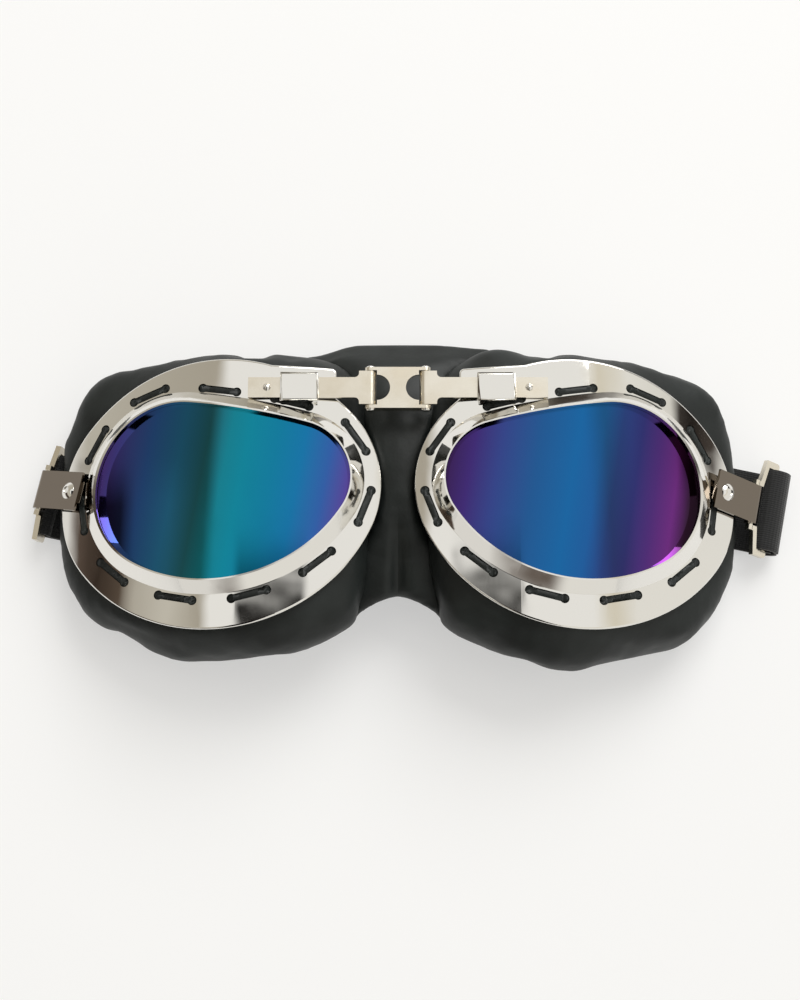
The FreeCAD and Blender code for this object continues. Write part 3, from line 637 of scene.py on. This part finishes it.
def blankFrom(node, name, voxel, grow):
    blank = mergedCopy(node, name)
    blank.data.remesh_voxel_size = voxel
    bpy.ops.object.voxel_remesh()
    swell = blank.modifiers.new("swell", "DISPLACE")
    swell.strength = grow
    swell.mid_level = 0
    applyModifiers(blank)
    blank.data.materials.clear()
    blank.data.materials.append(leatherSkin)
    return blank


def makeCloth(blank, held, spare):
    group = blank.vertex_groups.new(name="held")
    for vertex in blank.data.vertices:
        weight = held(vertex)
        if weight > 0:
            group.add([vertex.index], weight, "REPLACE")
    cloth = blank.modifiers.new("puff", "CLOTH")
    cloth.settings.use_pressure = True
    cloth.settings.uniform_pressure_force = pads["pressure"]
    cloth.settings.mass = pads["mass"]
    cloth.settings.shrink_min = -spare
    cloth.settings.vertex_group_mass = "held"
    cloth.settings.effector_weights.gravity = 0
    cloth.collision_settings.use_collision = False


def runCloth(blanks):
    for step in range(1, pads["frames"] + 1):
        scene.frame_set(step)
    for blank in blanks:
        applyModifiers(blank)
    scene.frame_set(1)


def capMoves(blank, starts, cap):
    most = 0.0
    for vertex, start in zip(blank.data.vertices, starts):
        move = vertex.co - start
        most = max(most, move.length)
        if move.length > cap:
            move *= cap / move.length
        vertex.co = start + move
        vertex.co.z = max(vertex.co.z, pads["floor"])
    print(blank.name, "moved up to", round(most / mm, 2), "mm")


def finishSoft(piece):
    dimples = bpy.data.textures.new("dimples", "CLOUDS")
    dimples.noise_scale = pads["dimple"]
    dent = piece.modifiers.new("dent", "DISPLACE")
    dent.texture = dimples
    dent.strength = pads["dimpleDepth"]
    dent.vertex_group = "held"
    dent.invert_vertex_group = True
    settle = piece.modifiers.new("settle", "SMOOTH")
    settle.iterations = pads["settle"]
    smooth = piece.modifiers.new("round", "SUBSURF")
    smooth.levels = smooth.render_levels = 1
    applyModifiers(piece)
    bpy.ops.object.shade_smooth()


def bulge(pad, side, held):
    for x, y, wide, pushX, pushY in pads[side]:
        for vertex in pad.data.vertices:
            far = math.hypot(vertex.co.x / mm - x, vertex.co.y / mm - y) / wide
            if far < 2:
                share = math.exp(-2 * far * far) * (1 - held(vertex))
                if abs(x) > pads["temple"]:
                    share *= smoothstep(*pads["strapRoom"], vertex.co.z)
                vertex.co.x += share * pushX * mm
                vertex.co.y += share * pushY * mm


def clampedBy(side):
    # 1 where the plate clamps the leather, 0 where it is free
    plate = nodes[side + "_frame_plate"].data
    near = BVHTree.FromPolygons([v.co for v in plate.vertices], [p.vertices for p in plate.polygons])
    return lambda vertex: 1 - smoothstep(pads["heldNear"], pads["freeFrom"], near.find_nearest(vertex.co)[3])


def faceShare(vertex):
    # 1 where the leather looks down, to the face
    return smoothstep(*pads["faceSide"], -vertex.normal.z)


def makeSoftPads():
    blanks = {}
    clamps = {}
    for side in sideSigns:
        blanks[side] = blankFrom(side + "_pad_foam", side + "_leather_pad", pads["voxel"], pads["skin"])
        clamps[side] = clampedBy(side)
        makeCloth(blanks[side], lambda vertex: max(clamps[side](vertex), faceShare(vertex)), pads["spare"])
    nose = blankFrom("nose_leather", "nose_leather_blank", noses["voxel"], noses["skin"])
    makeCloth(nose, lambda vertex: 0.0, noses["spare"])
    everything = [*blanks.values(), nose]
    starts = {blank: [v.co.copy() for v in blank.data.vertices] for blank in everything}
    runCloth(everything)
    for side, blank in blanks.items():
        capMoves(blank, starts[blank], pads["cap"])
        bulge(blank, side, clamps[side])
        finishSoft(blank)
    capMoves(nose, starts[nose], noses["cap"])
    finishSoft(nose)
    return blanks, nose


def fitNose(nose):
    # both ends spread into the pads, the brow end rounds off to their edges, and a crease runs down
    for vertex in nose.data.vertices:
        x, y = vertex.co.x, vertex.co.y
        side = "right" if x > 0 else "left"
        ends = smoothstep(*noses["browY"], y) + smoothstep(*noses["chinY"], y)
        vertex.co.x += sideSigns[side] * noses["spread"] * ends * smoothstep(*noses["spreadX"], abs(x))
        corner = noses["corners"][side] * smoothstep(*noses["cornerX"], abs(x))
        vertex.co.y -= (noses["lower"] + corner) * smoothstep(*noses["lowerY"], y)
        arch = noses["arch"] * math.exp(-(x / noses["archWidth"]) ** 2)
        vertex.co.y += arch * smoothstep(*noses["archY"], y)
        x, y = vertex.co.x, vertex.co.y
        depth = smoothstep(*noses["creaseY"], y) * math.exp(-(x / noses["creaseWidth"]) ** 2)
        vertex.co.z -= noses["creaseDepth"] * depth


def halfNose(nose, side):
    half = newPiece(side + "_nose_leather", nose.data)
    keepBeyond(half, 0, sideSigns[side])
    bpy.ops.object.shade_smooth_by_angle(angle=math.radians(noses["smoothAngle"]))
    return half


padPieces, noseBlank = makeSoftPads()
for side, piece in padPieces.items():
    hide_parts(side + "_pad_cover", side + "_pad_foam")
    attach(piece, side + "_eye")
fitNose(noseBlank)
for side in sideSigns:
    half = halfNose(noseBlank, side)
    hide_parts("nose_leather")
    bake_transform(half)
bpy.data.objects.remove(noseBlank)
print("pads and nose leather made")


# leather edge that shows in the slots

edging = {
    "voxel": 0.55 * mm,
    "grow": 0.16 * mm,
    "soften": 2,
}


def makeEdge(side):
    edge = blankFrom(side + "_binding", side + "_leather_edge", edging["voxel"], edging["grow"])
    soften = edge.modifiers.new("soften", "SMOOTH")
    soften.iterations = edging["soften"]
    applyModifiers(edge)
    bpy.ops.object.shade_smooth()
    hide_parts(side + "_binding")
    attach(edge, side + "_eye")


for side in sideSigns:
    makeEdge(side)
print("leather edges made")


# elastic strap: flat bands along routes in X and Z

strap = {
    "width": 23 * mm,
    "thick": 1.1 * mm,
    "middle": 2.4 * mm,     # the Y of its middle line
    "across": 12,           # faces across the band
    "spacing": 4 * mm,      # longest face along it
    "turnStep": 15,         # degrees of a turn to a face
    "edge": 0.3 * mm,
    "edgeSteps": 2,
    "edgeAngle": 60,
    "smoothAngle": 40,
    "tilt": -12.0,          # the ends hang askew on their loops
    "split": 5 * mm,        # the long band is cut in two at this X
}
swivels = {joint["name"]: joint["pos_m"] for joint in frame["joints"] if joint["name"].endswith("swivel")}
# each route's corners and the radius of each turn, in millimetres
strapRoutes = {
    "right_strap_end": (((107.29, 4.69), (102.39, 4.69), (102.39, 8.39), (108.79, 8.39), (108.79, 0.9),
                         (81.0, 0.9)),
                        (1.85, 1.85, 3.75, 3.75)),
    "left_strap_end": (((-81.0, 0.9), (-100.08, 0.9), (-100.08, 5.84), (-96.38, 5.84), (-96.38, 2.4),
                        (-91.5, 2.4)),
                       (1.85, 1.85, 1.85, 1.0)),
    "long_strap": (((91.5, 2.4), (78.6, 2.4), (75.0, 0.9), (-66.0, 0.9), (-66.0, 4.3), (-49.0, 4.3),
                    (-49.0, 9.3), (-43.8, 9.3), (-43.8, 4.3), (52.0, 4.3)),
                   (6.0, 6.0, 1.7, 1.7, 0.9, 0.9, 0.9, 0.9)),
    "short_strap": (((-88.4, 2.4), (-81.0, 2.4), (-66.0, 9.3), (-54.2, 9.3), (-54.2, 5.8), (-59.5, 5.8)),
                    (6.0, 6.0, 0.9, 0.9)),
}


def strapLine(corners, turns):
    # straight runs and rounded turns, as points
    points = [Vector((x, 0, z)) * mm for x, z in corners]
    line = [points[0]]
    for before, here, after, turn in zip(points, points[1:], points[2:], turns):
        inward, outward = (here - before).normalized(), (after - here).normalized()
        bend = inward.angle(outward)
        cut = turn * mm * math.tan(bend / 2)
        first, last = here - inward * cut, here + outward * cut
        middle = here + (outward - inward).normalized() * (turn * mm / math.cos(bend / 2))
        spoke = (first - middle).lerp(last - middle, 0.5).normalized() * turn * mm
        along = (last - first).normalized() * turn * mm
        steps = max(3, round(math.degrees(bend) / strap["turnStep"]))
        for step in range(steps + 1):
            angle = bend * (step / steps - 0.5)
            line.append(middle + spoke * math.cos(angle) + along * math.sin(angle))
    line.append(points[-1])
    spaced = [line[0]]
    for start, end in zip(line, line[1:]):
        pieces = max(1, math.ceil((end - start).length / strap["spacing"]))
        spaced += [start.lerp(end, (n + 1) / pieces) for n in range(pieces)]
    return spaced


def makeStrap(node, name):
    line = strapLine(*strapRoutes[node])
    lengths = [0.0]
    for start, end in zip(line, line[1:]):
        lengths.append(lengths[-1] + (end - start).length)
    bpy.ops.object.select_all(action="DESELECT")
    bpy.ops.mesh.primitive_grid_add(x_subdivisions=len(line) - 1, y_subdivisions=strap["across"], size=1)
    band = bpy.context.object
    band.name = name
    mesh = band.data
    columns = {v.index: round((v.co.x + 0.5) * (len(line) - 1)) for v in mesh.vertices}
    uv = mesh.uv_layers.active.data     # in metres along and across the band
    for loop in mesh.loops:
        vertex = mesh.vertices[loop.vertex_index]
        uv[loop.index].uv = (lengths[columns[vertex.index]], vertex.co.y * strap["width"])
    for vertex in mesh.vertices:
        point = line[columns[vertex.index]]
        vertex.co = (point.x, strap["middle"] + vertex.co.y * strap["width"], point.z)
    wall = band.modifiers.new("thick", "SOLIDIFY")
    wall.thickness = strap["thick"]
    wall.offset = 0
    edge = band.modifiers.new("edge", "BEVEL")
    edge.width = strap["edge"]
    edge.segments = strap["edgeSteps"]
    edge.limit_method = "ANGLE"
    edge.angle_limit = math.radians(strap["edgeAngle"])
    applyModifiers(band)
    if node.endswith("strap_end"):
        hub = Vector(swivels[node.replace("strap_end", "swivel")])
        turn = Matrix.Translation(hub) @ Matrix.Rotation(math.radians(strap["tilt"]), 4, "Z")
        mesh.transform(turn @ Matrix.Translation(-hub))
    bpy.ops.object.shade_smooth_by_angle(angle=math.radians(strap["smoothAngle"]))
    mesh.materials.append(strapCloth)
    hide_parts(node)
    print(name, "length", round(lengths[-1] / mm), "mm")
    return band


for side, sign in sideSigns.items():
    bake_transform(makeStrap(side + "_strap_end", side + "_elastic_end"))
longBand = makeStrap("long_strap", "long_elastic")
tailBand = newPiece("long_elastic_tail", longBand.data)
keepBeyond(longBand, strap["split"], -1)
keepBeyond(tailBand, strap["split"], 1)
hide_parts("long_strap")
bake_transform(longBand)
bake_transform(tailBand)
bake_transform(makeStrap("short_strap", "short_elastic"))
print("straps made")
